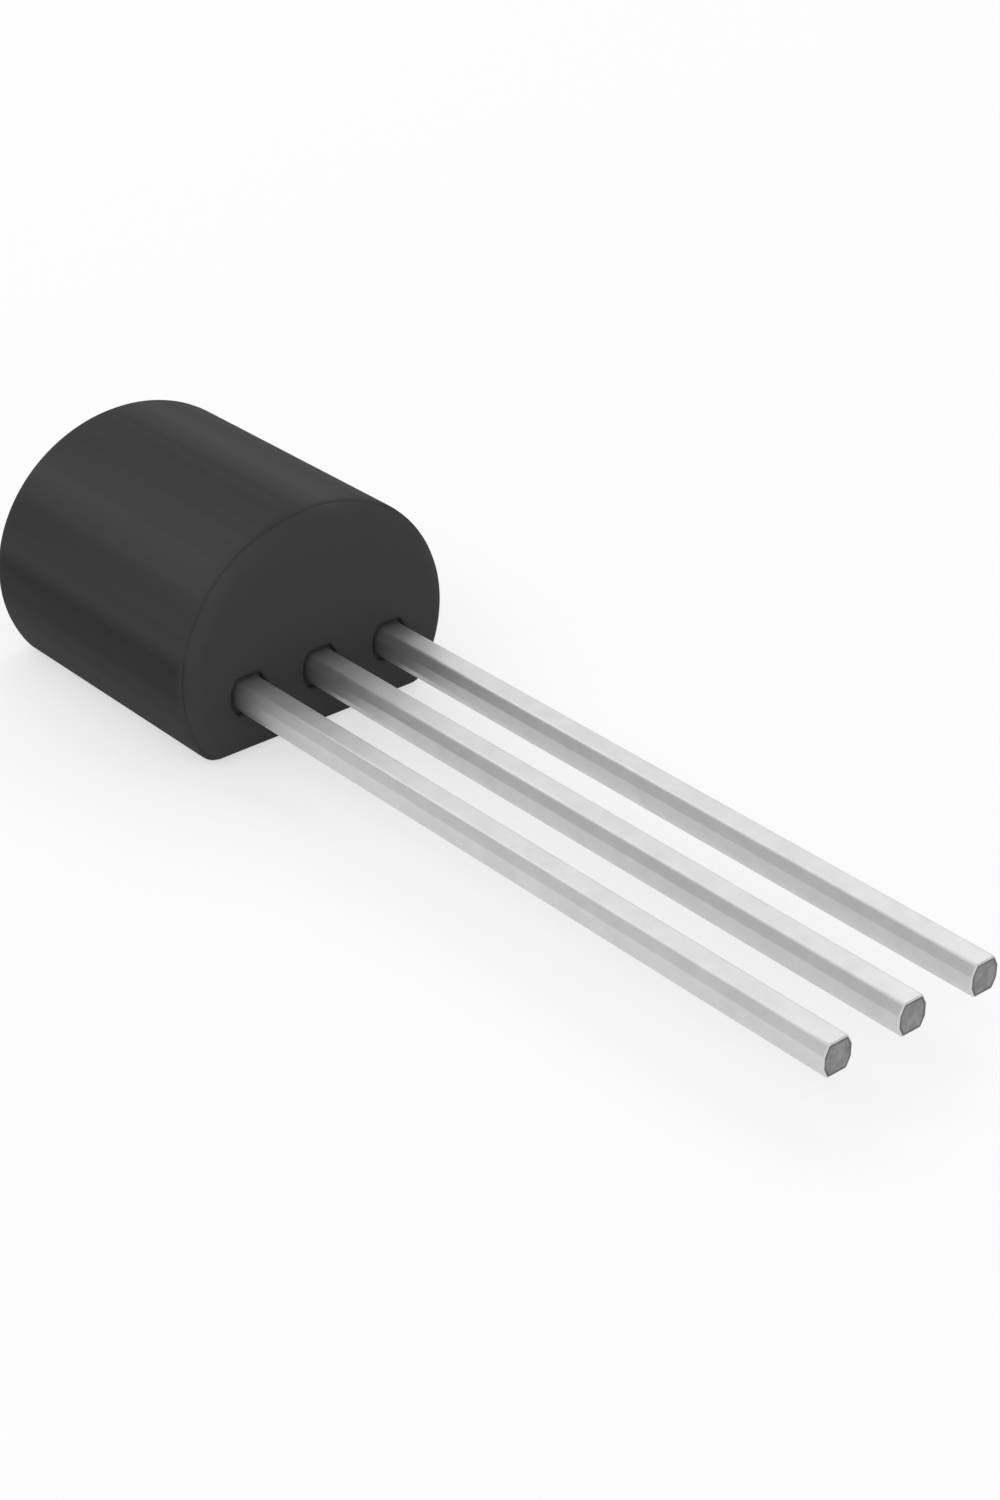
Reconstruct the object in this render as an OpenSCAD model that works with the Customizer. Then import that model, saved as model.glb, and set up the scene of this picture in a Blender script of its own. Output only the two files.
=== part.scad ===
// Three-lead shunt voltage regulator in a small moulded package.
// It lies on the flat side of its body: X runs out along the leads, Y across the lead row and
// Z from the flat to the round back. The origin is the middle of the flat side. Millimetres.

/* [Body] */
// Length of the body along the leads
body_length = 5; // [4.6:0.05:5.6]
// Width of the body across the lead row
body_width = 4.72; // [4.4:0.02:5.3]
// Thickness from the flat to the crown of the round back
body_thickness = 3.48; // [3.1:0.02:4.2]
// Height above the flat at which the body is widest
widest_height = 1.31; // [0.9:0.01:1.7]
// Radius that rounds the edges of the moulding
edge_radius = 0.28; // [0.1:0.02:0.5]

/* [Leads] */
// Spacing of the leads, centre to centre
lead_pitch = 1.27; // [1.2:0.01:1.4]
// Width of a lead across the row
lead_width = 0.48; // [0.4:0.01:0.56]
// Thickness of the strip that the leads are stamped from
lead_thickness = 0.48; // [0.4:0.01:0.56]
// Width of the bevels on the long edges of a lead
lead_bevel_width = 0.075; // [0.03:0.005:0.15]
// Height of those bevels on the sides of the lead
lead_bevel_height = 0.15; // [0.03:0.005:0.18]
// Length of a lead outside the body
lead_length = 11.5; // [3:0.1:20]
// Height of the middle of the leads above the flat
lead_height = 0.98; // [0.8:0.01:1.3]
// Gap round each lead in the relief where it leaves the body
relief_gap = 0.06; // [0.02:0.01:0.12]
// Depth of that relief
relief_depth = 0.1; // [0.05:0.01:0.3]

/* [Lead frame inside the body] */
// Length of the bond post at the inner end of each outer lead
post_length = 1; // [0.8:0.05:1.2]
// Width of a bond post
post_width = 0.84; // [0.6:0.02:0.96]
// Depth of the notches that lock the frame in the moulding
notch_depth = 0.12; // [0.05:0.01:0.16]
// Length of a notch along the lead
notch_length = 0.3; // [0.1:0.02:0.4]
// Gap between the bond posts and the die paddle
paddle_gap = 0.25; // [0.15:0.01:0.35]
// Width of the die paddle
paddle_width = 1.9; // [1.5:0.05:2.4]
// Length of bare paddle behind the die, where the anode wire lands
paddle_tail = 0.6; // [0.4:0.05:0.8]
// Thickness of the moulding beyond the end of the paddle
end_wall = 0.75; // [0.5:0.05:0.9]

/* [Die and bonds] */
// Length of the silicon die along the leads
die_length = 1; // [0.8:0.05:1.2]
// Width of the silicon die
die_width = 1; // [0.7:0.05:1.2]
// Thickness of the silicon die
die_thickness = 0.28; // [0.15:0.01:0.4]
// Distance from the die to the edge of the paddle next to the posts
die_setback = 0.2; // [0.12:0.01:0.3]
// Thickness of the adhesive layer under the die
attach_thickness = 0.03; // [0.02:0.005:0.06]
// How far the adhesive shows round the die
attach_margin = 0.05; // [0.02:0.01:0.1]
// Diameter of the bond wire
wire_diameter = 0.05; // [0.03:0.005:0.06]
// Rise of a wire loop above the line between its two ends
loop_rise = 0.3; // [0.15:0.01:0.6]
// Diameter of the ball bond on a pad of the die
ball_diameter = 0.12; // [0.08:0.01:0.16]
// Height of that ball bond
ball_height = 0.05; // [0.02:0.005:0.08]
// Diameter of the flattened stitch bond at the other end of a wire
stitch_diameter = 0.14; // [0.1:0.01:0.18]
// Height of that stitch bond
stitch_height = 0.02; // [0.01:0.005:0.04]
// Distance from the edges of the die to the middle of a bond pad
pad_inset = 0.15; // [0.1:0.01:0.25]

/* [Hidden] */

// Finish of the round surfaces, and of the bonds, whose discs are polygons
$fn = 96;
bond_sides = 12;
wire_sides = 8;
loop_steps = 14;

// How far a cut or a guide solid runs past the piece that it shapes
overrun = 1;

// Body
half_width = body_width / 2;
crown_height = body_thickness - widest_height;
crown_share = crown_height / half_width;
lead_end = body_length / 2;

// Long edges of the flat: where the oval meets it, how steeply it leaves it, and the round between them,
// which sits a touch low so that it crosses the flat cleanly
flat_share = sqrt(1 - pow(widest_height / crown_height, 2));
side_angle = atan2(crown_height * flat_share, half_width * widest_height / crown_height);
long_edge_sink_share = 0.985;
long_edge_axis = [
    half_width * flat_share - edge_radius * tan(side_angle / 2),
    edge_radius * long_edge_sink_share
];

// Lead frame, from the far end of the body towards the lead end
lead_bottom = lead_height - lead_thickness / 2;
lead_top = lead_height + lead_thickness / 2;
lead_tip = lead_end + lead_length;
lead_bevel_tilt = atan2(lead_bevel_width, lead_bevel_height);
paddle_back = end_wall - lead_end;
paddle_length = paddle_tail + die_length + die_setback;
paddle_front = paddle_back + paddle_length;
paddle_middle = (paddle_front + paddle_back) / 2;
post_middle = paddle_front + paddle_gap + post_length / 2;

// Die, stacked on the paddle
die_front = paddle_front - die_setback;
die_back = die_front - die_length;
die_middle = (die_front + die_back) / 2;
die_bottom = lead_top + attach_thickness;
die_top = die_bottom + die_thickness;

// Bond pads on the die, and where the wires land on the frame
pad_side = die_width / 2 - pad_inset;
pad_height = die_top + ball_height;
landing_height = lead_top + stitch_height;
reference_pad = [die_front - pad_inset, pad_side, pad_height];
cathode_pad = [die_front - pad_inset, -pad_side, pad_height];
anode_pad = [die_back + pad_inset, 0, pad_height];
reference_landing = [post_middle, lead_pitch, landing_height];
cathode_landing = [post_middle, -lead_pitch, landing_height];
anode_landing = [(die_back - attach_margin + paddle_back) / 2, 0, landing_height];

// Rectangle round the origin with its corners rounded
module rounded_rectangle(width, height, radius) {
    square([width - 2 * radius, height], center = true);
    square([width, height - 2 * radius], center = true);
    for (x = [-1, 1], y = [-1, 1])
        translate([x * (width / 2 - radius), y * (height / 2 - radius)])
            circle(r = radius);
}

// Half section of the barrel: distance from its axis along X, length along Y
module barrel_profile() {
    intersection() {
        rounded_rectangle(body_width, body_length, edge_radius);
        translate([0, -body_length / 2])
            square([half_width, body_length]);
    }
}

// Oval barrel with rounded ends, before the flat is cut
module barrel() {
    translate([0, 0, widest_height])
        scale([1, 1, crown_share])
            rotate([0, 90, 0])
                rotate_extrude()
                    barrel_profile();
}

// Slab that gives the flat and the rounding where the flat runs out at both ends
module flat_slab() {
    height = body_thickness + overrun;
    rotate([90, 0, 0])
        linear_extrude(body_width + overrun, center = true)
            translate([0, height / 2])
                rounded_rectangle(body_length, height, edge_radius);
}

// What the round along one long edge of the flat takes away
module long_edge_cut() {
    normal = [sin(side_angle), -cos(side_angle)];
    rotate([90, 0, 90])
        linear_extrude(body_length + overrun, center = true)
            translate(long_edge_axis)
                difference() {
                    polygon([[0, 0], [0, -overrun], overrun * normal]);
                    circle(r = edge_radius);
                }
}

// Plate of the stamped strip, in the plane of the leads
module strip_plate() {
    translate([0, 0, lead_bottom])
        linear_extrude(lead_thickness)
            children();
}

// Section of a lead round the origin: a square with bevelled corners, grown evenly on all its sides
module lead_section(grow) {
    side = lead_width / 2 + grow;
    top = lead_thickness / 2 + grow;
    side_flat = lead_thickness / 2 - lead_bevel_height + grow * tan(lead_bevel_tilt / 2);
    top_flat = lead_width / 2 - lead_bevel_width + grow * tan(45 - lead_bevel_tilt / 2);
    polygon([
        [side, -side_flat],
        [side, side_flat],
        [top_flat, top],
        [-top_flat, top],
        [-side, side_flat],
        [-side, -side_flat],
        [-top_flat, -top],
        [top_flat, -top]
    ]);
}

// Straight lead from one place along X to another
module lead_bar(from, to, grow = 0) {
    translate([from, 0, lead_height])
        rotate([90, 0, 90])
            linear_extrude(to - from)
                lead_section(grow);
}

// Flat outline of a post or paddle with a locking notch in the middle of each side
module notched_outline(middle, length, width) {
    difference() {
        translate([middle, 0])
            square([length, width], center = true);
        for (side = [-1, 1])
            translate([middle, side * width / 2])
                square([notch_length, 2 * notch_depth], center = true);
    }
}

// Outer lead, which ends inside the body in a bond post
module post_lead(y) {
    translate([0, y, 0]) {
        lead_bar(post_middle, lead_tip);
        strip_plate()
            notched_outline(post_middle, post_length, post_width);
    }
}

// Bond wire: ball on the die, arched loop, stitch on the frame
function loop_point(from, to, t) =
    let (along = (1 - cos(180 * t)) / 2)
    from + (to - from) * along + [0, 0, loop_rise * sin(180 * t)];

function loop_heading(from, to, t) =
    let (
        swing = sin(180 * t) / 2,
        flat = norm([to.x - from.x, to.y - from.y]) * swing,
        climb = (to.z - from.z) * swing + loop_rise * cos(180 * t)
    )
    [flat, climb] / norm([flat, climb]);

function loop_ring(from, to, t) =
    let (
        plan = [to.x - from.x, to.y - from.y, 0] / norm([to.x - from.x, to.y - from.y]),
        across = [-plan.y, plan.x, 0],
        heading = loop_heading(from, to, t),
        outward = [0, 0, heading.x] - plan * heading.y
    )
    [for (side = [0:wire_sides - 1])
        let (turn = 360 * side / wire_sides)
        loop_point(from, to, t) + (outward * cos(turn) + across * sin(turn)) * wire_diameter / 2];

module wire_loop(from, to) {
    points = [for (step = [0:loop_steps]) each loop_ring(from, to, step / loop_steps)];
    last = loop_steps * wire_sides;
    sides = [for (step = [0:loop_steps - 1], side = [0:wire_sides - 1])
        let (
            a = step * wire_sides + side,
            b = step * wire_sides + (side + 1) % wire_sides
        )
        each [[a, b, b + wire_sides], [a, b + wire_sides, a + wire_sides]]];
    start_cap = [for (side = [0:wire_sides - 1]) wire_sides - 1 - side];
    end_cap = [for (side = [0:wire_sides - 1]) last + side];
    polyhedron(points, concat(sides, [start_cap, end_cap]));
}

module bond_wire(pad, landing) {
    wire_loop(pad, landing);
    translate([pad.x, pad.y, die_top])
        cylinder(d = ball_diameter, h = ball_height, $fn = bond_sides);
    translate([landing.x, landing.y, lead_top])
        cylinder(d = stitch_diameter, h = stitch_height, $fn = bond_sides);
}

// Everything that the moulding is cast round
module cast_in_pieces() {
    reference_lead();
    anode_lead();
    cathode_lead();
    die_attach();
    silicon_die();
    reference_bond_wire();
    anode_bond_wire();
    cathode_bond_wire();
}

module moulded_body() {
    color("#3d3d3d")
        difference() {
            intersection() {
                barrel();
                flat_slab();
            }
            for (side = [0, 1])
                mirror([0, side, 0])
                    long_edge_cut();
            for (row = [-1:1])
                translate([0, row * lead_pitch, 0])
                    lead_bar(lead_end - relief_depth, lead_end + overrun, relief_gap);
            cast_in_pieces();
        }
}

module reference_lead() {
    color("#c9c9c6")
        post_lead(lead_pitch);
}

module anode_lead() {
    color("#c9c9c6") {
        lead_bar(paddle_middle, lead_tip);
        strip_plate()
            notched_outline(paddle_middle, paddle_length, paddle_width);
    }
}

module cathode_lead() {
    color("#c9c9c6")
        post_lead(-lead_pitch);
}

module die_attach() {
    color("#8d8f94")
        translate([die_middle, 0, lead_top])
            linear_extrude(attach_thickness)
                square([die_length + 2 * attach_margin, die_width + 2 * attach_margin], center = true);
}

module silicon_die() {
    color("#4b5563")
        translate([die_middle, 0, die_bottom])
            linear_extrude(die_thickness)
                square([die_length, die_width], center = true);
}

module reference_bond_wire() {
    color("#d9a441")
        bond_wire(reference_pad, reference_landing);
}

module anode_bond_wire() {
    color("#d9a441")
        bond_wire(anode_pad, anode_landing);
}

module cathode_bond_wire() {
    color("#d9a441")
        bond_wire(cathode_pad, cathode_landing);
}

moulded_body();
reference_lead();
anode_lead();
cathode_lead();
die_attach();
silicon_die();
reference_bond_wire();
anode_bond_wire();
cathode_bond_wire();
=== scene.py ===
"""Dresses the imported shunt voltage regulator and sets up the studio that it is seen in.

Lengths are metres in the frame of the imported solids: X runs out along the leads, Y across the row of leads,
and Z from the flat side, which lies on the floor, to the round back.
"""

import logging
import math
from dataclasses import dataclass
from enum import Enum, IntEnum

import bmesh
import bpy
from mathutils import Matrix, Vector


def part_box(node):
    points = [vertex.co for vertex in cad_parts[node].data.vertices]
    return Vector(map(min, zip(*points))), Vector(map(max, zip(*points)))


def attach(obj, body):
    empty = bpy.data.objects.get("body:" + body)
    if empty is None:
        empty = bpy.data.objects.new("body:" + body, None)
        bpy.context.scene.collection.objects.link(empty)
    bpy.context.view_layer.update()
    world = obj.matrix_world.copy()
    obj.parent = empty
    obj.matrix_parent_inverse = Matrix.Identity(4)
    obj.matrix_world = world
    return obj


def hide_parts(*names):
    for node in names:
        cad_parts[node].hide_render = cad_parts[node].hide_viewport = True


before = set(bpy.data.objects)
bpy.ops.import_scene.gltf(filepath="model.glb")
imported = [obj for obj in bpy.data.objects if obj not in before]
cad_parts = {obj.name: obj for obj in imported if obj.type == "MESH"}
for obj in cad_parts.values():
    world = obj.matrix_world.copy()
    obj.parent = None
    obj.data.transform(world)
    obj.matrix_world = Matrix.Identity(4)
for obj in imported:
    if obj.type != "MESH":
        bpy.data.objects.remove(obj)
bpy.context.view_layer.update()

LOG = logging.getLogger("shunt_voltage_regulator")
MM = 0.001
PER_MM = 1.0 / MM
WELD = 0.00002 * MM
QUARTER_TURN = math.pi / 2
NOISE_LOW = 0.3
NOISE_MEAN = 0.5
NOISE_HIGH = 0.7
GRAIN_DETAILS = {"Grain": 4.0, "Mottle": 2.0}
GRAIN_ROUGHNESS = 0.6
LINE_DETAIL = 3.0
LINE_ROUGHNESS = 0.5
WHITE = (1.0, 1.0, 1.0, 1.0)
BODY = "root"

Colour = tuple[float, float, float]
Sockets = dict[str | int, object]
Ring = list[bmesh.types.BMVert]


class Effect(Enum):
    """Surface effects that several finishes share, by the name of their node group."""

    GRAIN = "fine_grain"
    DRAWN = "drawn_lines_and_painted_bands"


class LeadSurface(IntEnum):
    """Surfaces of a lead, by the index of their material."""

    PLATING = 0
    RIM = 1
    CUT = 2


class Graph:
    """Adds nodes to one node tree and links them by the names of their sockets."""

    def __init__(self, tree: bpy.types.NodeTree) -> None:
        """Keeps the tree and empties it."""
        self.tree = tree
        tree.nodes.clear()

    def add(self, kind: str, sockets: Sockets | None = None, **settings: object) -> bpy.types.Node:
        """Adds one node.

        Args:
            kind: Blender's identifier of the node type.
            sockets: Values for input sockets, by name, or by number where names repeat.
            settings: Values for the node's own properties.

        Returns:
            The new node.
        """
        node = self.tree.nodes.new(kind)
        for name, value in settings.items():
            setattr(node, name, value)
        for entry, value in (sockets or {}).items():
            node.inputs[entry].default_value = value
        return node

    def reckon(self, operation: str) -> bpy.types.Node:
        """Adds a node for one operation on numbers and returns it."""
        return self.add("ShaderNodeMath", operation=operation)

    def link(self, source: bpy.types.Node, output: str, target: bpy.types.Node, entry: str | int) -> None:
        """Links an output of one node to an input of another, by name, or by number where names repeat."""
        self.tree.links.new(source.outputs[output], target.inputs[entry])

    def ramp(self, low: Colour, high: Colour) -> bpy.types.Node:
        """Adds a colour ramp over the usual reach of a noise.

        Args:
            low: Colour where the noise is low.
            high: Colour where it is high.

        Returns:
            The ramp node.
        """
        node = self.add("ShaderNodeValToRGB")
        for element, position, colour in zip(node.color_ramp.elements, (NOISE_LOW, NOISE_HIGH), (low, high)):
            element.position = position
            element.color = (*colour, 1.0)
        return node

    def span(self, start: float, end: float, low: float, high: float) -> bpy.types.Node:
        """Adds a map from one range of values to another, which holds its results past both ends.

        Args:
            start: Value where the range starts.
            end: Value where it ends.
            low: Result at the start.
            high: Result at the end.

        Returns:
            The map node.
        """
        ranges = {"From Min": start, "From Max": end, "To Min": low, "To Max": high}
        return self.add("ShaderNodeMapRange", ranges)


def new_group(kind: Effect, entries: tuple[str, ...], exits: tuple[str, ...]) -> bpy.types.NodeTree:
    """Makes an empty node group with named number sockets.

    Args:
        kind: The effect that the group is for.
        entries: Names of its inputs.
        exits: Names of its outputs.

    Returns:
        The new group.
    """
    group = bpy.data.node_groups.new(kind.value, "ShaderNodeTree")
    for name in entries:
        group.interface.new_socket(name, in_out="INPUT", socket_type="NodeSocketFloat")
    for name in exits:
        group.interface.new_socket(name, in_out="OUTPUT", socket_type="NodeSocketFloat")
    return group


def grain_group() -> bpy.types.NodeTree:
    """Builds the grain effect: a fine grain and a broad, soft mottling.

    Returns:
        The group, with inputs Grain Scale and Mottle Scale and outputs Grain and Mottle.
    """
    group = new_group(Effect.GRAIN, tuple(f"{name} Scale" for name in GRAIN_DETAILS), tuple(GRAIN_DETAILS))
    graph = Graph(group)
    entry = graph.add("NodeGroupInput")
    out = graph.add("NodeGroupOutput")
    place = graph.add("ShaderNodeTexCoord")
    for name, detail in GRAIN_DETAILS.items():
        noise = graph.add("ShaderNodeTexNoise", {"Detail": detail, "Roughness": GRAIN_ROUGHNESS})
        graph.link(place, "Object", noise, "Vector")
        graph.link(entry, f"{name} Scale", noise, "Scale")
        graph.link(noise, "Fac", out, name)
    return group


def drawn_group() -> bpy.types.NodeTree:
    """Builds the drawn effect: lines along X, as drawing or rolling leaves them, and on the moulding painted
    reflection bands along the barrel.

    They fade out on faces that look along X.

    Returns:
        The group, with inputs Line Scale, Stretch and Seed and output Lines.
    """
    group = new_group(Effect.DRAWN, ("Line Scale", "Stretch", "Seed"), ("Lines",))
    graph = Graph(group)
    entry = graph.add("NodeGroupInput")
    out = graph.add("NodeGroupOutput")
    place = graph.add("ShaderNodeTexCoord")
    apart = graph.add("ShaderNodeSeparateXYZ")
    slow = graph.reckon("DIVIDE")
    joined = graph.add("ShaderNodeCombineXYZ")
    texture = {"Detail": LINE_DETAIL, "Roughness": LINE_ROUGHNESS}
    noise = graph.add("ShaderNodeTexNoise", texture, noise_dimensions="4D")
    graph.link(place, "Object", apart, "Vector")
    graph.link(apart, "X", slow, 0)
    graph.link(entry, "Stretch", slow, 1)
    graph.link(slow, "Value", joined, "X")
    graph.link(apart, "Y", joined, "Y")
    graph.link(apart, "Z", joined, "Z")
    graph.link(joined, "Vector", noise, "Vector")
    graph.link(entry, "Line Scale", noise, "Scale")
    graph.link(entry, "Seed", noise, "W")
    facing = graph.add("ShaderNodeNewGeometry")
    sides = graph.add("ShaderNodeSeparateXYZ")
    across = graph.reckon("ABSOLUTE")
    fade = graph.add("ShaderNodeMix", data_type="FLOAT")
    fade.inputs["B"].default_value = NOISE_MEAN
    graph.link(facing, "Normal", sides, "Vector")
    graph.link(sides, "X", across, "Value")
    graph.link(across, "Value", fade, "Factor")
    graph.link(noise, "Fac", fade, "A")
    graph.link(fade, "Result", out, "Lines")
    return group


EFFECT_BUILDERS = {Effect.GRAIN: grain_group, Effect.DRAWN: drawn_group}


def effect_group(kind: Effect) -> bpy.types.NodeTree:
    """Gives the node group of an effect, and builds it the first time."""
    return bpy.data.node_groups.get(kind.value) or EFFECT_BUILDERS[kind]()


class SurfaceGraph(Graph):
    """The node tree of one material, started with its Principled shader."""

    def __init__(self, name: str, constants: Sockets) -> None:
        """Makes the material and its shader.

        Args:
            name: Name of the material.
            constants: Values of the shader's own sockets that are the same all over.
        """
        self.material = bpy.data.materials.new(name)
        self.material.use_nodes = True
        super().__init__(self.material.node_tree)
        self.shader = self.add("ShaderNodeBsdfPrincipled", constants)
        self.out = self.add("ShaderNodeOutputMaterial")
        self.link(self.shader, "BSDF", self.out, "Surface")

    def grain(self, grain_scale: float, mottle_scale: float) -> bpy.types.Node:
        """Places the grain effect with its own scales.

        Args:
            grain_scale: Scale of the fine grain.
            mottle_scale: Scale of the mottling.

        Returns:
            The group node.
        """
        scales = {"Grain Scale": grain_scale, "Mottle Scale": mottle_scale}
        return self.add("ShaderNodeGroup", scales, node_tree=effect_group(Effect.GRAIN))

    def lines(self, scale: float, stretch: float, seed: float = 0.0) -> bpy.types.Node:
        """Places the drawn effect with its own values.

        Args:
            scale: Scale of the lines, across them.
            stretch: How many times longer than wide they are.
            seed: Picks one pattern of lines.

        Returns:
            The group node.
        """
        values = {"Line Scale": scale, "Stretch": stretch, "Seed": seed}
        return self.add("ShaderNodeGroup", values, node_tree=effect_group(Effect.DRAWN))

    def tint(self, mask: bpy.types.Node, output: str, low: Colour, high: Colour) -> bpy.types.Node:
        """Colours the base between two colours by a mask.

        Args:
            mask: Node that gives the mask.
            output: Name of its output.
            low: Colour where the mask is low.
            high: Colour where it is high.

        Returns:
            The ramp that gives the colour.
        """
        ramp = self.ramp(low, high)
        self.link(mask, output, ramp, "Fac")
        self.link(ramp, "Color", self.shader, "Base Color")
        return ramp

    def polish(self, mask: bpy.types.Node, output: str, low: float, high: float) -> None:
        """Varies the roughness between two values by a mask.

        Args:
            mask: Node that gives the mask.
            output: Name of its output.
            low: Roughness where the mask is low.
            high: Roughness where it is high.
        """
        spread = self.span(NOISE_LOW, NOISE_HIGH, low, high)
        self.link(mask, output, spread, "Value")
        self.link(spread, "Result", self.shader, "Roughness")

    def relief(self, mask: bpy.types.Node, output: str, depth: float, strength: float) -> None:
        """Bumps the surface by a mask.

        Args:
            mask: Node that gives the height.
            output: Name of its output.
            depth: Height of the bumps.
            strength: How strongly they show, from 0 to 1.
        """
        bump = self.add("ShaderNodeBump", {"Distance": depth, "Strength": strength})
        self.link(mask, output, bump, "Height")
        self.link(bump, "Normal", self.shader, "Normal")


@dataclass(frozen=True)
class MouldCompound:
    """Filled black epoxy, matt from its mould, with faint painted reflection bands along the barrel in its
    colour.
    """

    name: str = "mould_compound"
    dark: Colour = (0.032, 0.032, 0.032)
    pale: Colour = (0.065, 0.065, 0.065)
    smooth: float = 0.62
    rough: float = 0.72
    gloss: float = 0.02
    grain_scale: float = 30 * PER_MM
    mottle_scale: float = 2.2 * PER_MM
    grain_depth: float = 0.004 * MM
    grain_strength: float = 0.35
    # Painted reflection bands along the barrel: their scale, stretch and pattern.
    reflection_band_scale: float = 1.0 * PER_MM
    reflection_band_stretch: float = 40.0
    reflection_band_seed: float = 28.0

    def material(self) -> bpy.types.Material:
        """Builds the material.

        Returns:
            The new material.
        """
        graph = SurfaceGraph(self.name, {"Specular IOR Level": self.gloss})
        grain = graph.grain(self.grain_scale, self.mottle_scale)
        # Painted reflections: bands along the barrel, tinted into the base colour, that stand for the studio
        # mirrored in it; on the end face they settle to a middle tone.
        reflection_bands = graph.lines(self.reflection_band_scale, self.reflection_band_stretch, self.reflection_band_seed)
        graph.tint(reflection_bands, "Lines", self.dark, self.pale)
        graph.polish(grain, "Grain", self.smooth, self.rough)
        graph.relief(grain, "Grain", self.grain_depth, self.grain_strength)
        return graph.material


@dataclass(frozen=True)
class MattTin:
    """Matt tin plating over a rolled copper alloy, with faint lines along the lead and painted shade that
    darkens its root near the body.
    """

    root: float
    name: str = "matt_tin"
    dull: Colour = (0.62, 0.62, 0.62)
    bright: Colour = (0.67, 0.67, 0.67)
    metal: float = 0.85
    smooth: float = 0.42
    rough: float = 0.50
    line_scale: float = 26 * PER_MM
    stretch: float = 60.0
    line_depth: float = 0.0015 * MM
    line_strength: float = 0.30
    grain_scale: float = 60 * PER_MM
    mottle_scale: float = 3.0 * PER_MM
    # Painted shade at the lead's root: its darkest share of the colour, and how far it reaches along sides
    # and top.
    root_shade_share: float = 0.50
    root_shade_on_side: float = 1.9 * MM
    root_shade_on_top: float = 0.60 * MM
    top_from: float = 0.60

    def material(self) -> bpy.types.Material:
        """Builds the material.

        Returns:
            The new material.
        """
        graph = SurfaceGraph(self.name, {"Metallic": self.metal})
        grain = graph.grain(self.grain_scale, self.mottle_scale)
        lines = graph.lines(self.line_scale, self.stretch)
        plating = graph.tint(grain, "Mottle", self.dull, self.bright)
        self.paint_root_shade(graph, plating)
        graph.polish(grain, "Grain", self.smooth, self.rough)
        graph.relief(lines, "Lines", self.line_depth, self.line_strength)
        return graph.material

    def paint_root_shade(self, graph: SurfaceGraph, plating: bpy.types.Node) -> None:
        """Paints shade on the root of the lead, where the body shades it.

        The painted shade reaches farther along its sides and bevels than along its top and bottom.

        Args:
            graph: Nodes of the material.
            plating: Ramp that gives the colour of the plating.
        """
        side_shade_end = self.root + self.root_shade_on_side
        top_shade_end = self.root + self.root_shade_on_top
        place = graph.add("ShaderNodeTexCoord")
        along = graph.add("ShaderNodeSeparateXYZ")
        facing = graph.add("ShaderNodeNewGeometry")
        sides = graph.add("ShaderNodeSeparateXYZ")
        level = graph.reckon("ABSOLUTE")
        end = graph.span(self.top_from, 1.0, side_shade_end, top_shade_end)
        # Painted shade: the plating's colour is darkened towards the body, down to the set share at the root.
        clear = graph.span(self.root, side_shade_end, self.root_shade_share, 1.0)
        scale = graph.add("ShaderNodeVectorMath", operation="SCALE")
        graph.link(facing, "Normal", sides, "Vector")
        graph.link(sides, "Z", level, "Value")
        graph.link(level, "Value", end, "Value")
        graph.link(end, "Result", clear, "From Max")
        graph.link(place, "Object", along, "Vector")
        graph.link(along, "X", clear, "Value")
        graph.link(plating, "Color", scale, "Vector")
        graph.link(clear, "Result", scale, "Scale")
        graph.link(scale, "Vector", graph.shader, "Base Color")


@dataclass(frozen=True)
class ShearedEnd:
    """The cut tip of a lead, where the shears have left the metal rough and dull; its dark colour is partly
    that dull metal and partly painted shade.
    """

    name: str = "sheared_end"
    # Dark colours: the dull cut metal, darkened further as painted shade on the end of the lead.
    dark: Colour = (0.22, 0.22, 0.22)
    pale: Colour = (0.34, 0.34, 0.34)
    metal: float = 1.0
    smooth: float = 0.50
    rough: float = 0.70
    grain_scale: float = 30 * PER_MM
    mottle_scale: float = 6 * PER_MM
    grain_depth: float = 0.004 * MM
    grain_strength: float = 0.5

    def material(self) -> bpy.types.Material:
        """Builds the material.

        Returns:
            The new material.
        """
        graph = SurfaceGraph(self.name, {"Metallic": self.metal})
        grain = graph.grain(self.grain_scale, self.mottle_scale)
        graph.tint(grain, "Mottle", self.dark, self.pale)
        graph.polish(grain, "Grain", self.smooth, self.rough)
        graph.relief(grain, "Grain", self.grain_depth, self.grain_strength)
        return graph.material


@dataclass(frozen=True)
class DieAdhesive:
    """Silver-filled adhesive under the die, with the glint of its flakes."""

    name: str = "die_adhesive"
    resin: Colour = (0.34, 0.34, 0.35)
    flake: Colour = (0.58, 0.58, 0.60)
    metal: float = 0.5
    smooth: float = 0.35
    rough: float = 0.65
    grain_scale: float = 90 * PER_MM
    mottle_scale: float = 40 * PER_MM
    grain_depth: float = 0.002 * MM
    grain_strength: float = 0.5

    def material(self) -> bpy.types.Material:
        """Builds the material.

        Returns:
            The new material.
        """
        graph = SurfaceGraph(self.name, {"Metallic": self.metal})
        grain = graph.grain(self.grain_scale, self.mottle_scale)
        graph.tint(grain, "Mottle", self.resin, self.flake)
        graph.polish(grain, "Grain", self.smooth, self.rough)
        graph.relief(grain, "Grain", self.grain_depth, self.grain_strength)
        return graph.material


@dataclass(frozen=True)
class Silicon:
    """Polished silicon with the faint cloud of its oxide layers."""

    name: str = "silicon"
    dark: Colour = (0.07, 0.085, 0.12)
    pale: Colour = (0.13, 0.15, 0.20)
    refraction: float = 2.0
    smooth: float = 0.10
    rough: float = 0.22
    grain_scale: float = 50 * PER_MM
    mottle_scale: float = 7 * PER_MM

    def material(self) -> bpy.types.Material:
        """Builds the material.

        Returns:
            The new material.
        """
        graph = SurfaceGraph(self.name, {"IOR": self.refraction})
        grain = graph.grain(self.grain_scale, self.mottle_scale)
        graph.tint(grain, "Mottle", self.dark, self.pale)
        graph.polish(grain, "Grain", self.smooth, self.rough)
        return graph.material


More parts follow.
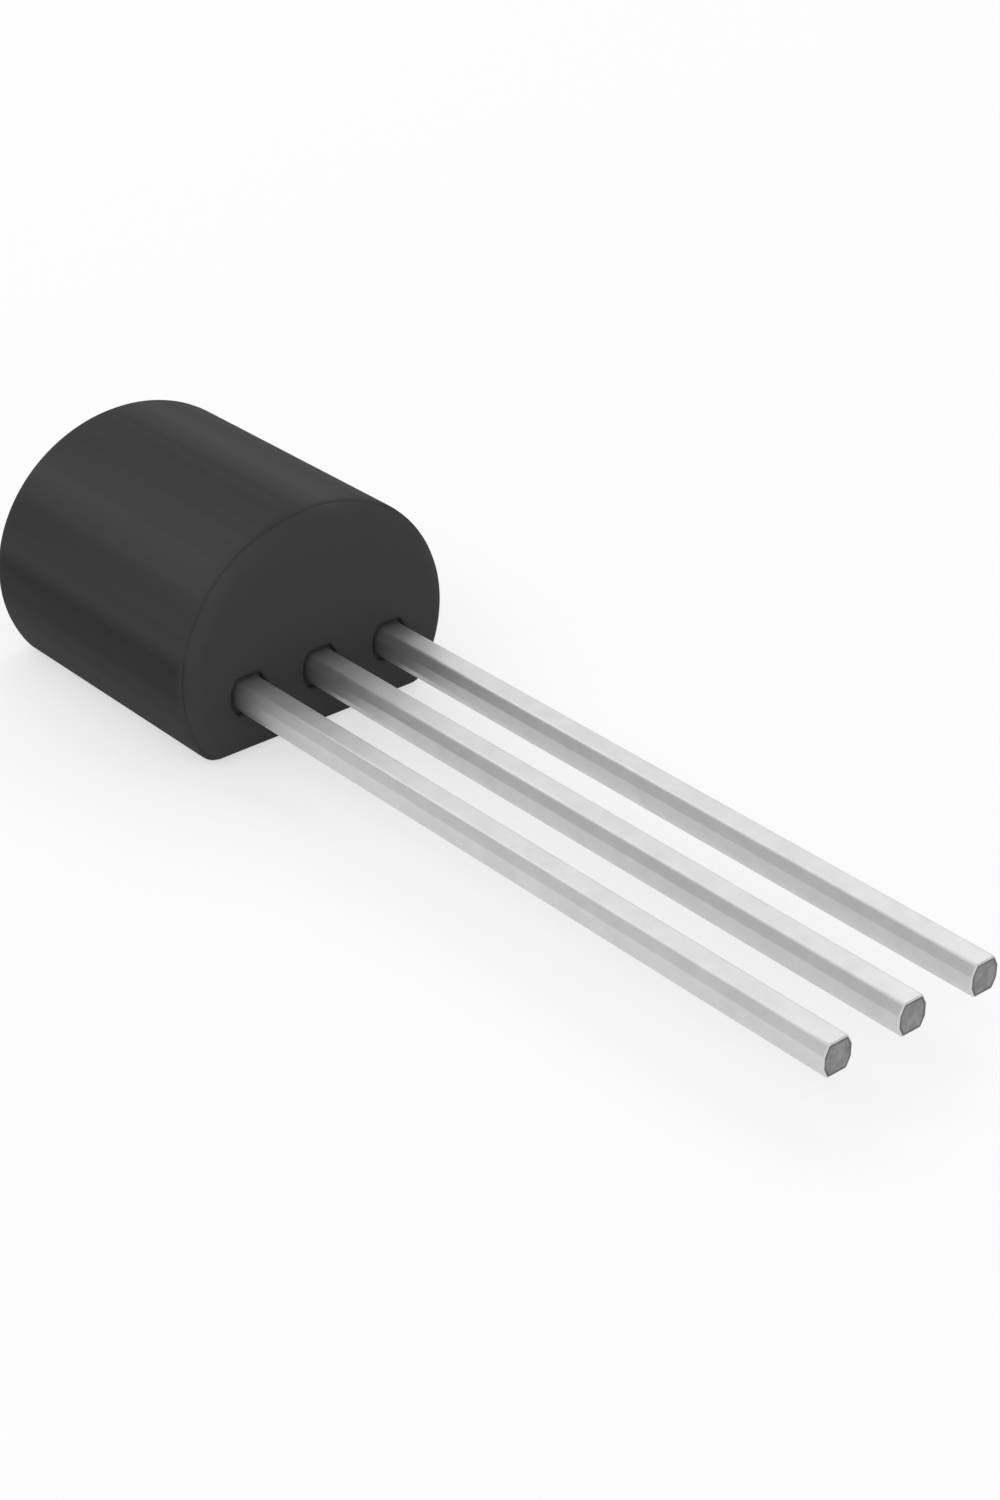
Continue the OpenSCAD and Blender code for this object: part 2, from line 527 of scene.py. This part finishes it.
@dataclass(frozen=True)
class GoldWire:
    """Drawn gold wire, with faint lines from the die that it was drawn through."""

    name: str = "gold_wire"
    deep: Colour = (0.76, 0.52, 0.16)
    pale: Colour = (0.90, 0.68, 0.26)
    metal: float = 1.0
    smooth: float = 0.15
    rough: float = 0.30
    line_scale: float = 120 * PER_MM
    stretch: float = 12.0

    def material(self) -> bpy.types.Material:
        """Builds the material.

        Returns:
            The new material.
        """
        graph = SurfaceGraph(self.name, {"Metallic": self.metal})
        lines = graph.lines(self.line_scale, self.stretch)
        graph.tint(lines, "Lines", self.deep, self.pale)
        graph.polish(lines, "Lines", self.smooth, self.rough)
        return graph.material


class Loft:
    """Grows a mesh from rings of points, and makes an object of it."""

    def __init__(self) -> None:
        """Starts with an empty mesh."""
        self.mesh = bmesh.new()

    def ring(self, points: list[Vector]) -> Ring:
        """Adds the points of a ring and returns their vertices."""
        return [self.mesh.verts.new(point) for point in points]

    def face(self, corners: Ring, material: int = 0) -> None:
        """Adds one face, with the index of its material."""
        self.mesh.faces.new(corners).material_index = material

    def bridge(self, first: Ring, second: Ring, material: int = 0) -> None:
        """Joins two rings of the same count with quads.

        Args:
            first: Ring to start from.
            second: Ring to end at.
            material: Index of the quads' material.
        """
        for i, vertex in enumerate(first):
            before = i - 1
            self.face([first[before], vertex, second[i], second[before]], material)

    def skin(self, rings: list[Ring]) -> None:
        """Joins each ring to the next one."""
        for first, second in zip(rings, rings[1:]):
            self.bridge(first, second)

    def pierced(self, border: Ring, holes: list[Ring], right: int, left: int) -> None:
        """Fills a flat border round a row of holes with two faces, which meet along the row.

        Args:
            border: Ring round the outside, counter-clockwise.
            holes: Rings round the holes, from left to right, each counter-clockwise from its right side.
            right: Index in the border of the corner right of the row.
            left: Index in the border of the corner left of the row.
        """
        above = border[right:left + 1]
        below = border[left:] + border[:right + 1]
        for hole in holes:
            half = len(hole) // 2
            above += reversed(hole[:half + 1])
        for hole in reversed(holes):
            half = len(hole) // 2
            below += [hole[0], *reversed(hole[half:])]
        self.face(above)
        self.face(below)

    def piece(self, name: str, node: str, slot: str, sharp_angle: float) -> bpy.types.Object:
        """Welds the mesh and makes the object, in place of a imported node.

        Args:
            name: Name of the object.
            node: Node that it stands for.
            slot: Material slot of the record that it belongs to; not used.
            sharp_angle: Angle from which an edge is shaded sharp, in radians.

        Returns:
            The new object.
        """
        bmesh.ops.remove_doubles(self.mesh, verts=self.mesh.verts, dist=WELD)
        bmesh.ops.recalc_face_normals(self.mesh, faces=self.mesh.faces)
        data = bpy.data.meshes.new(name)
        self.mesh.to_mesh(data)
        self.mesh.free()
        data.shade_smooth()
        data.set_sharp_from_angle(angle=sharp_angle)
        made = bpy.data.objects.new(name, data)
        bpy.context.scene.collection.objects.link(made)
        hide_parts(node)
        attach(made, BODY)
        return made


def coat(piece: bpy.types.Object, *materials: bpy.types.Material) -> None:
    """Gives an object its materials.

    Args:
        piece: The object.
        materials: Its materials, in the order of their indices.
    """
    for index, material in enumerate(materials):
        if index < len(piece.material_slots):
            piece.material_slots[index].material = material
        else:
            piece.data.materials.append(material)


@dataclass(frozen=True)
class LeadSection:
    """Cross section of the leads: a square with bevelled corners, the edges of the bevels slightly rounded.

    A holding point close to each end of a rounded edge keeps the flats beside it evenly shaded.
    """

    size: float = 0.48 * MM
    bevel_across: float = 0.075 * MM
    bevel_up: float = 0.15 * MM
    edge: float = 0.05 * MM
    edge_hold: float = 0.008 * MM
    edge_steps: int = 4

    def corner_arcs(self) -> list[tuple[float, float, float, float]]:
        """Gives the two edges of the bevel in the first quadrant.

        Returns:
            For each edge its centre across and up, and its first and last angle, in radians.
        """
        half = self.size / 2
        tilt = math.atan2(self.bevel_across, self.bevel_up)
        side = self.bevel_up + self.edge * math.tan(tilt / 2)
        top = self.bevel_across + self.edge * math.tan((QUARTER_TURN - tilt) / 2)
        inner = half - self.edge
        return [(inner, half - side, 0.0, tilt), (half - top, inner, tilt, QUARTER_TURN)]

    def quarter(self, grow: float) -> list[tuple[float, float]]:
        """Gives the outline in the first quadrant, from the side to the top.

        Args:
            grow: How far outside the lead the outline runs; negative inside.

        Returns:
            Points across and up from the middle of the lead.
        """
        reach = self.edge + grow
        hold = self.edge_hold
        points = []
        for across, up, first, last in self.corner_arcs():
            arc = []
            for step in range(self.edge_steps + 1):
                angle = first + (last - first) * step / self.edge_steps
                arc.append((across + reach * math.cos(angle), up + reach * math.sin(angle)))
            start, end = arc[0], arc[-1]
            before = (start[0] + hold * math.sin(first), start[1] - hold * math.cos(first))
            after = (end[0] - hold * math.sin(last), end[1] + hold * math.cos(last))
            points += [before, *arc, after]
        return points

    def ring(self, x: float, y: float, z: float, grow: float = 0.0) -> list[Vector]:
        """Gives the outline of the section at a place.

        Args:
            x: Place along the lead.
            y: Middle of the lead, across the row.
            z: Middle of the lead, above the flat.
            grow: How far outside the lead the outline runs; negative inside.

        Returns:
            Points of the outline, counter-clockwise seen from the tip, a quarter of them to each corner.
        """
        first = self.quarter(grow)
        second = [(-across, up) for across, up in reversed(first)]
        upper = first + second
        lower = [(-across, -up) for across, up in upper]
        return [Vector((x, y + across, z + up)) for across, up in upper + lower]


@dataclass
class MouldedBody:
    """The moulding: an oval barrel with a flat side and round ends, and a relief round each lead.

    The seam between the mould's barrel and its end leaves a fine witness line in the round at the lead end.
    """

    section: LeadSection
    lead_places: list[tuple[float, float]]
    finish: MouldCompound = MouldCompound()
    name: str = "body_moulding"
    node: str = "moulded_body"
    slot: str = "mould_compound"
    widest_height: float = 1.31 * MM
    edge_radius: float = 0.28 * MM
    relief_gap: float = 0.06 * MM
    relief_depth: float = 0.10 * MM
    relief_rim: float = 0.05 * MM
    socket_depth: float = 0.40 * MM
    border: float = 0.04 * MM
    witness_angle: float = math.radians(28)
    witness_spread: float = math.radians(8)
    witness_hold: float = math.radians(1)
    witness_depth: float = 0.026 * MM
    barrel_steps: int = 160
    flat_steps: int = 12
    round_steps: int = 8
    length_steps: int = 12
    relief_steps: int = 4
    halvings: int = 60
    sharp_angle: float = math.radians(50)

    def __post_init__(self) -> None:
        """Takes the body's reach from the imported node."""
        low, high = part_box(self.node)
        self.far_end = low.x
        self.lead_end = high.x
        self.half_width = (high.y - low.y) / 2
        self.crown = high.z - self.widest_height

    def oval(self, angle: float) -> tuple[Vector, Vector]:
        """Gives a point of the oval and its outward normal.

        Args:
            angle: Angle of the oval's parameter, in radians.

        Returns:
            The point and the normal, both with X at 0.
        """
        across, up = math.cos(angle), math.sin(angle)
        point = Vector((0, self.half_width * across, self.widest_height + self.crown * up))
        normal = Vector((0, self.crown * across, self.half_width * up))
        return point, normal.normalized()

    def corner_angle(self) -> float:
        """Finds where the round between oval and flat starts on the oval.

        Returns:
            The oval's parameter there, in radians.
        """
        low, high = -QUARTER_TURN, 0.0
        for _ in range(self.halvings):
            middle = (low + high) / 2
            point, normal = self.oval(middle)
            if point.z - self.edge_radius * normal.z < self.edge_radius:
                low = middle
            else:
                high = middle
        return (low + high) / 2

    def outline(self) -> list[tuple[Vector, Vector]]:
        """Gives the D-shaped cross section.

        Returns:
            Points and outward normals, counter-clockwise seen from the lead end.
        """
        start = self.corner_angle()
        touch, normal = self.oval(start)
        centre = touch - self.edge_radius * normal
        turn = math.atan2(normal.z, normal.y)
        right = []
        for step in range(self.round_steps):
            angle = -QUARTER_TURN + (turn + QUARTER_TURN) * step / self.round_steps
            way = Vector((0, math.cos(angle), math.sin(angle)))
            right.append((centre + self.edge_radius * way, way))
        sweep = math.pi - 2 * start
        barrel = [self.oval(start + sweep * i / self.barrel_steps) for i in range(self.barrel_steps + 1)]
        mirror = Vector((1, -1, 1))
        left = [(point * mirror, way * mirror) for point, way in reversed(right)]
        down = Vector((0, 0, -1))
        flat = []
        for step in range(1, self.flat_steps):
            across = centre.y * (2 * step / self.flat_steps - 1)
            flat.append((Vector((0, across, 0)), down))
        return [*right, *barrel, *left, *flat]

    def plain_round(self) -> list[tuple[float, float]]:
        """Gives the quarter round at an end of the body.

        Returns:
            Angles from the barrel, in radians, each with the radius there.
        """
        steps = self.round_steps
        return [(QUARTER_TURN * step / steps, self.edge_radius) for step in range(steps + 1)]

    def lined_round(self) -> list[tuple[float, float]]:
        """Gives the quarter round at the lead end, with the witness line cut into it.

        Returns:
            Angles from the barrel, in radians, each with the radius there.
        """
        middle, wide = self.witness_angle, self.witness_spread
        hold = wide + self.witness_hold
        line = [(middle + offset, self.edge_radius) for offset in (-hold, -wide, wide, hold)]
        line.append((middle, self.edge_radius - self.witness_depth))
        clear = [turn for turn in self.plain_round() if abs(turn[0] - middle) > hold]
        return sorted(clear + line)

    def stations(self) -> list[tuple[float, float]]:
        """Gives the places along the body, from its far end to the lead end.

        Returns:
            Places along X, each with how far the outline there lies inside that of the barrel.
        """
        full = self.edge_radius
        back, front = self.far_end + full, self.lead_end - full
        places = []
        for angle, radius in reversed(self.plain_round()):
            places.append((back - radius * math.sin(angle), full - radius * math.cos(angle)))
        for step in range(1, self.length_steps):
            places.append((back + (front - back) * step / self.length_steps, 0.0))
        for angle, radius in self.lined_round():
            places.append((front + radius * math.sin(angle), full - radius * math.cos(angle)))
        return places

    def inside(self, points: list[Vector]) -> list[Vector]:
        """Gives a ring just inside the edge of an end face, which keeps the face evenly shaded.

        Args:
            points: The edge of the face.

        Returns:
            Points of the ring.
        """
        centre = sum(points, Vector()) / len(points)
        centre.x = points[0].x
        shrink = 1 - self.border / self.half_width
        return [centre + shrink * (point - centre) for point in points]

    def rings(self) -> list[list[Vector]]:
        """Gives the rings of the body, from inside the far end's edge to inside the lead end's.

        Returns:
            Points of each ring.
        """
        section = self.outline()
        rings = []
        for x, inset in self.stations():
            place = Vector((x, 0, 0))
            rings.append([place + point - inset * normal for point, normal in section])
        return [self.inside(rings[0]), *rings, self.inside(rings[-1])]

    def relief(self, loft: Loft, y: float, z: float) -> Ring:
        """Builds the relief round one lead, and the socket that the lead sits in.

        Args:
            loft: Mesh that it goes into.
            y: Middle of the lead, across the row.
            z: Middle of the lead, above the flat.

        Returns:
            The ring where the relief meets the end face.
        """
        gap, rim, end = self.relief_gap, self.relief_rim, self.lead_end
        floor = end - self.relief_depth
        profile = [(end, gap + rim + self.border)]
        for step in range(self.relief_steps + 1):
            angle = QUARTER_TURN * step / self.relief_steps
            profile.append((end - rim * (1 - math.cos(angle)), gap + rim * (1 - math.sin(angle))))
        profile += [(floor, gap), (floor, 0.0), (floor - self.socket_depth, 0.0)]
        rings = [loft.ring(self.section.ring(x, y, z, grow)) for x, grow in profile]
        loft.skin(rings)
        loft.face(rings[-1])
        return rings[0]

    def build(self) -> bpy.types.Object:
        """Builds the moulding.

        Returns:
            Its object.
        """
        loft = Loft()
        points = self.rings()
        rings = [loft.ring(ring) for ring in points]
        loft.skin(rings)
        loft.face(rings[0])
        places = sorted(self.lead_places)
        holes = [self.relief(loft, y, z) for y, z in places]
        row = places[0][1]
        edge = points[-1]
        level = sorted(range(len(edge)), key=lambda i: abs(edge[i].z - row))
        right = next(i for i in level if edge[i].y > 0)
        left = next(i for i in level if edge[i].y < 0)
        loft.pierced(rings[-1], holes, right, left)
        return loft.piece(self.name, self.node, self.slot, self.sharp_angle)

    def dress(self, moulding: bpy.types.Object) -> None:
        """Gives the moulding its finish."""
        coat(moulding, self.finish.material())


@dataclass
class Lead:
    """One lead of the stamped frame: a straight bar that widens inside the body to a notched plate."""

    name: str
    node: str
    section: LeadSection
    plate_front: float
    notch: float = 0.12 * MM
    notch_length: float = 0.30 * MM
    slot: str = "tinned_lead"
    tip_round: float = 0.02 * MM
    tip_rim: float = 0.03 * MM
    tip_steps: int = 4
    bar_steps: int = 24
    sharp_angle: float = math.radians(45)

    def __post_init__(self) -> None:
        """Takes the lead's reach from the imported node."""
        low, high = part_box(self.node)
        self.plate_back = low.x
        self.tip = high.x
        self.y = (low.y + high.y) / 2
        self.z = (low.z + high.z) / 2
        self.plate_half = (high.y - low.y) / 2

    def bar(self, loft: Loft) -> Ring:
        """Builds the bar and its cut tip.

        Args:
            loft: Mesh that it goes into.

        Returns:
            The ring where the bar meets the plate.
        """
        straight = self.tip - self.tip_round - self.plate_front
        stations = []
        for step in range(self.bar_steps + 1):
            stations.append((self.plate_front + straight * step / self.bar_steps, 0.0))
        for step in range(1, self.tip_steps + 1):
            angle = QUARTER_TURN * step / self.tip_steps
            inset = self.tip_round * (1 - math.cos(angle))
            stations.append((self.tip - self.tip_round * (1 - math.sin(angle)), inset))
        stations.append((self.tip, self.tip_round + self.tip_rim))
        rings = [loft.ring(self.section.ring(x, self.y, self.z, -inset)) for x, inset in stations]
        loft.skin(rings[:-1])
        # The band round the edge of the cut face takes the rim material, whose darker colour is painted
        # shade.
        loft.bridge(rings[-2], rings[-1], LeadSurface.RIM)
        loft.face(rings[-1], LeadSurface.CUT)
        return rings[0]

    def half_outline(self) -> list[tuple[float, float]]:
        """Gives one side of the plate, from front to back.

        Returns:
            Places along X, each with the distance from the middle of the plate.
        """
        front, back, half = self.plate_front, self.plate_back, self.plate_half
        start = (front + back + self.notch_length) / 2
        end = start - self.notch_length
        inner = half - self.notch
        return [(front, half), (start, half), (start, inner), (end, inner), (end, half), (back, half)]

    def plate(self, loft: Loft, mouth: Ring) -> None:
        """Builds the plate.

        Args:
            loft: Mesh that it goes into.
            mouth: Ring where the bar meets it.
        """
        quarter = len(mouth) // 4
        first, second, third, fourth = (mouth[i:i + quarter] for i in range(0, len(mouth), quarter))
        side = self.half_outline()
        border = [(x, self.y + w) for x, w in side] + [(x, self.y - w) for x, w in reversed(side)]
        rise = self.section.size / 2
        upper = loft.ring([Vector((x, y, self.z + rise)) for x, y in border])
        lower = loft.ring([Vector((x, y, self.z - rise)) for x, y in border])
        loft.face([first[-1], *upper, second[0]])
        loft.face([fourth[0], *lower, third[-1]])
        for i in range(len(border) - 1):
            loft.face([upper[i], upper[i + 1], lower[i + 1], lower[i]])
        loft.face([*fourth, *first, upper[0], lower[0]])
        loft.face([*second, *third, lower[-1], upper[-1]])

    def build(self) -> bpy.types.Object:
        """Builds the lead.

        Returns:
            Its object.
        """
        loft = Loft()
        self.plate(loft, self.bar(loft))
        return loft.piece(self.name, self.node, self.slot, self.sharp_angle)


@dataclass
class LeadFrame:
    """The three leads, in their order across the row."""

    section: LeadSection
    post_length: float = 1.00 * MM
    paddle_gap: float = 0.25 * MM
    # Painted shade: a darker band round the edge of each cut face, standing for a dark outline at the tip.
    rim: ShearedEnd = ShearedEnd("sheared_rim_painted_shade", dark=(0.13, 0.13, 0.13), pale=(0.20, 0.20, 0.20))
    cut: ShearedEnd = ShearedEnd()

    def __post_init__(self) -> None:
        """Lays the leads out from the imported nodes."""
        post_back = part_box("cathode_lead")[0].x
        post_front = post_back + self.post_length
        fronts = {"reference": post_front, "anode": post_back - self.paddle_gap, "cathode": post_front}
        self.leads = []
        for name, front in fronts.items():
            self.leads.append(Lead(f"{name}_lead_tinned", f"{name}_lead", self.section, front))

    def places(self) -> list[tuple[float, float]]:
        """Gives the middle of each lead across the row and above the flat."""
        return [(lead.y, lead.z) for lead in self.leads]

    def build(self) -> list[bpy.types.Object]:
        """Builds the leads and returns their objects."""
        return [lead.build() for lead in self.leads]

    def dress(self, leads: list[bpy.types.Object], root: float) -> None:
        """Gives the leads their finishes.

        Args:
            leads: Objects of the leads.
            root: Place along X where the leads leave the body.
        """
        tin = MattTin(root)
        finishes = {LeadSurface.PLATING: tin, LeadSurface.RIM: self.rim, LeadSurface.CUT: self.cut}
        materials = [finishes[surface].material() for surface in LeadSurface]
        for lead in leads:
            coat(lead, *materials)


@dataclass(frozen=True)
class InnerPieces:
    """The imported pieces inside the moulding, which keep their solids and get a finish."""

    die: str = "silicon_die"
    adhesive: str = "die_attach"
    wires: tuple[str, ...] = ("reference_bond_wire", "anode_bond_wire", "cathode_bond_wire")

    def dress(self) -> list[str]:
        """Gives the inner pieces their finishes.

        Returns:
            Names of the pieces.
        """
        coat(bpy.data.objects[self.die], Silicon().material())
        coat(bpy.data.objects[self.adhesive], DieAdhesive().material())
        gold = GoldWire().material()
        for wire in self.wires:
            coat(bpy.data.objects[wire], gold)
        return [self.die, self.adhesive, *self.wires]


def direction(azimuth: float, elevation: float) -> Vector:
    """Gives a direction from the object, in the convention of the views.

    Args:
        azimuth: Angle round the object in degrees, 0 on the -Y side and 90 on the +X side.
        elevation: Angle above the floor in degrees.

    Returns:
        The unit vector.
    """
    around, above = math.radians(azimuth), math.radians(elevation)
    flat = math.cos(above)
    return Vector((math.sin(around) * flat, -math.cos(around) * flat, math.sin(above)))


@dataclass(frozen=True)
class Softbox:
    """A rectangular studio lamp that faces the object."""

    name: str
    azimuth: float
    elevation: float
    width: float
    height: float
    radiance: float
    distance: float = 0.40

    def build(self, target: Vector) -> bpy.types.Object:
        """Builds the lamp.

        Args:
            target: Point that it faces.

        Returns:
            The lamp's object.
        """
        data = bpy.data.lights.new(self.name, "AREA")
        data.shape = "RECTANGLE"
        data.size = self.width
        data.size_y = self.height
        data.energy = self.radiance * math.pi * self.width * self.height
        lamp = bpy.data.objects.new(self.name, data)
        away = direction(self.azimuth, self.elevation)
        lamp.location = target + self.distance * away
        lamp.rotation_euler = away.to_track_quat("Z", "Y").to_euler()
        lamp.visible_camera = False
        bpy.context.scene.collection.objects.link(lamp)
        return lamp


@dataclass(frozen=True)
class Studio:
    """Floor, lamps, surroundings and the camera of the photograph."""

    floor_size: float = 3.0
    floor_drop: float = 0.01 * MM
    floor_pale: Colour = (0.95, 0.95, 0.95)
    floor_white: Colour = (0.97, 0.97, 0.97)
    floor_roughness: float = 1.0
    floor_gloss: float = 0.0
    floor_grain: float = 0.5 * PER_MM
    floor_mottle: float = 0.02 * PER_MM
    floor_glow: float = 0.60
    glow_near: float = 60 * MM
    glow_far: float = 250 * MM
    bright_azimuth: float = 140.0
    bright_side: float = 0.76
    dim_side: float = 0.48
    horizon_low: float = 0.04
    horizon_high: float = 0.10
    softboxes: tuple[Softbox, ...] = (
        Softbox("front_softbox", azimuth=350, elevation=52, width=0.30, height=0.30, radiance=0.81),
        Softbox("right_softbox", azimuth=60, elevation=30, width=0.42, height=0.40, radiance=0.71),
        Softbox("rear_softbox", azimuth=209, elevation=45, width=0.15, height=0.32, radiance=1.2),
        Softbox("far_softbox", azimuth=260, elevation=31, width=0.32, height=0.42, radiance=1.12),
    )
    target: tuple[float, float, float] = (6.292 * MM, 0.144 * MM, 1.200 * MM)
    azimuth: float = 49.558
    elevation: float = 29.800
    distance: float = 40.688 * MM
    lens: float = 72.15
    sensor: float = 36.0
    near: float = 1.0 * MM
    far: float = 10.0

    def floor(self) -> bpy.types.Object:
        """Builds the floor.

        Returns:
            Its object.
        """
        half = self.floor_size / 2
        data = bpy.data.meshes.new("floor")
        corners = [(-half, -half), (half, -half), (half, half), (-half, half)]
        data.from_pydata([(x, y, -self.floor_drop) for x, y in corners], [], [(0, 1, 2, 3)])
        made = bpy.data.objects.new("floor", data)
        bpy.context.scene.collection.objects.link(made)
        coat(made, self.paper())
        return made

    def paper(self) -> bpy.types.Material:
        """Builds the floor's white paper, which camera and mirroring surfaces see partly lit from behind.

        The share of that light grows with the distance, and near the object the paper shows its shadow.

        Returns:
            The material.
        """
        constants = {"Roughness": self.floor_roughness, "Specular IOR Level": self.floor_gloss}
        graph = SurfaceGraph("studio_paper", constants)
        grain = graph.grain(self.floor_grain, self.floor_mottle)
        graph.tint(grain, "Mottle", self.floor_pale, self.floor_white)
        glow = graph.add("ShaderNodeEmission", {"Color": WHITE, "Strength": 1.0})
        path = graph.add("ShaderNodeLightPath")
        mirrored = graph.reckon("MAXIMUM")
        seen = graph.reckon("MAXIMUM")
        place = graph.add("ShaderNodeTexCoord")
        away = graph.add("ShaderNodeVectorMath", operation="LENGTH")
        spread = graph.span(self.glow_near, self.glow_far, self.floor_glow, 1.0)
        share = graph.reckon("MULTIPLY")
        blend = graph.add("ShaderNodeMixShader")
        graph.link(path, "Is Glossy Ray", mirrored, 0)
        graph.link(path, "Is Transmission Ray", mirrored, 1)
        graph.link(path, "Is Camera Ray", seen, 0)
        graph.link(mirrored, "Value", seen, 1)
        graph.link(place, "Object", away, 0)
        graph.link(away, "Value", spread, "Value")
        graph.link(seen, "Value", share, 0)
        graph.link(spread, "Result", share, 1)
        graph.link(share, "Value", blend, "Fac")
        graph.link(graph.shader, "BSDF", blend, 1)
        graph.link(glow, "Emission", blend, 2)
        graph.link(blend, "Shader", graph.out, "Surface")
        return graph.material

    def lamps(self) -> list[bpy.types.Object]:
        """Builds the lamps and returns their objects."""
        return [softbox.build(Vector(self.target)) for softbox in self.softboxes]

    def surroundings(self) -> None:
        """Builds the surroundings: white at the horizon, pale above, and dimmer on one side."""
        world = bpy.data.worlds.new("studio")
        world.use_nodes = True
        graph = Graph(world.node_tree)
        place = graph.add("ShaderNodeTexCoord")
        bright_way = direction(self.bright_azimuth, 0)
        along = graph.add("ShaderNodeVectorMath", {1: bright_way}, operation="DOT_PRODUCT")
        level = graph.span(-1.0, 1.0, self.dim_side, self.bright_side)
        apart = graph.add("ShaderNodeSeparateXYZ")
        horizon = graph.span(self.horizon_low, self.horizon_high, 1.0, 0.0)
        strength = graph.reckon("MAXIMUM")
        shade = graph.add("ShaderNodeBackground", {"Color": WHITE})
        out = graph.add("ShaderNodeOutputWorld")
        graph.link(place, "Generated", along, 0)
        graph.link(along, "Value", level, "Value")
        graph.link(place, "Generated", apart, "Vector")
        graph.link(apart, "Z", horizon, "Value")
        graph.link(level, "Result", strength, 0)
        graph.link(horizon, "Result", strength, 1)
        graph.link(strength, "Value", shade, "Strength")
        graph.link(shade, "Background", out, "Surface")
        bpy.context.scene.world = world

    def camera(self) -> bpy.types.Object:
        """Builds the camera of the photograph.

        Returns:
            Its object.
        """
        data = bpy.data.cameras.new("photo_camera")
        data.sensor_width = self.sensor
        data.lens = self.lens
        data.clip_start = self.near
        data.clip_end = self.far
        made = bpy.data.objects.new("photo_camera", data)
        back = direction(self.azimuth, self.elevation)
        made.location = Vector(self.target) + self.distance * back
        made.rotation_euler = back.to_track_quat("Z", "Y").to_euler()
        bpy.context.scene.collection.objects.link(made)
        bpy.context.scene.camera = made
        return made

    def build(self) -> list[bpy.types.Object]:
        """Builds the whole studio.

        Returns:
            Objects of the floor, the lamps and the camera.
        """
        self.surroundings()
        bpy.context.scene.view_settings.view_transform = "Standard"
        return [self.floor(), *self.lamps(), self.camera()]


def main() -> None:
    """Builds and dresses the part, then the studio, and reports each piece."""
    logging.basicConfig(level=logging.INFO, format="%(name)s: %(message)s")
    section = LeadSection()
    lead_frame = LeadFrame(section)
    body = MouldedBody(section, lead_frame.places())
    moulding = body.build()
    body.dress(moulding)
    LOG.info("moulding %s has %d faces", moulding.name, len(moulding.data.polygons))
    leads = lead_frame.build()
    lead_frame.dress(leads, body.lead_end)
    for lead in leads:
        LOG.info("lead %s has %d faces", lead.name, len(lead.data.polygons))
    for name in InnerPieces().dress():
        LOG.info("inner piece %s dressed", name)
    for prop in Studio().build():
        LOG.info("studio has %s", prop.name)


if __name__ == "__main__":
    main()
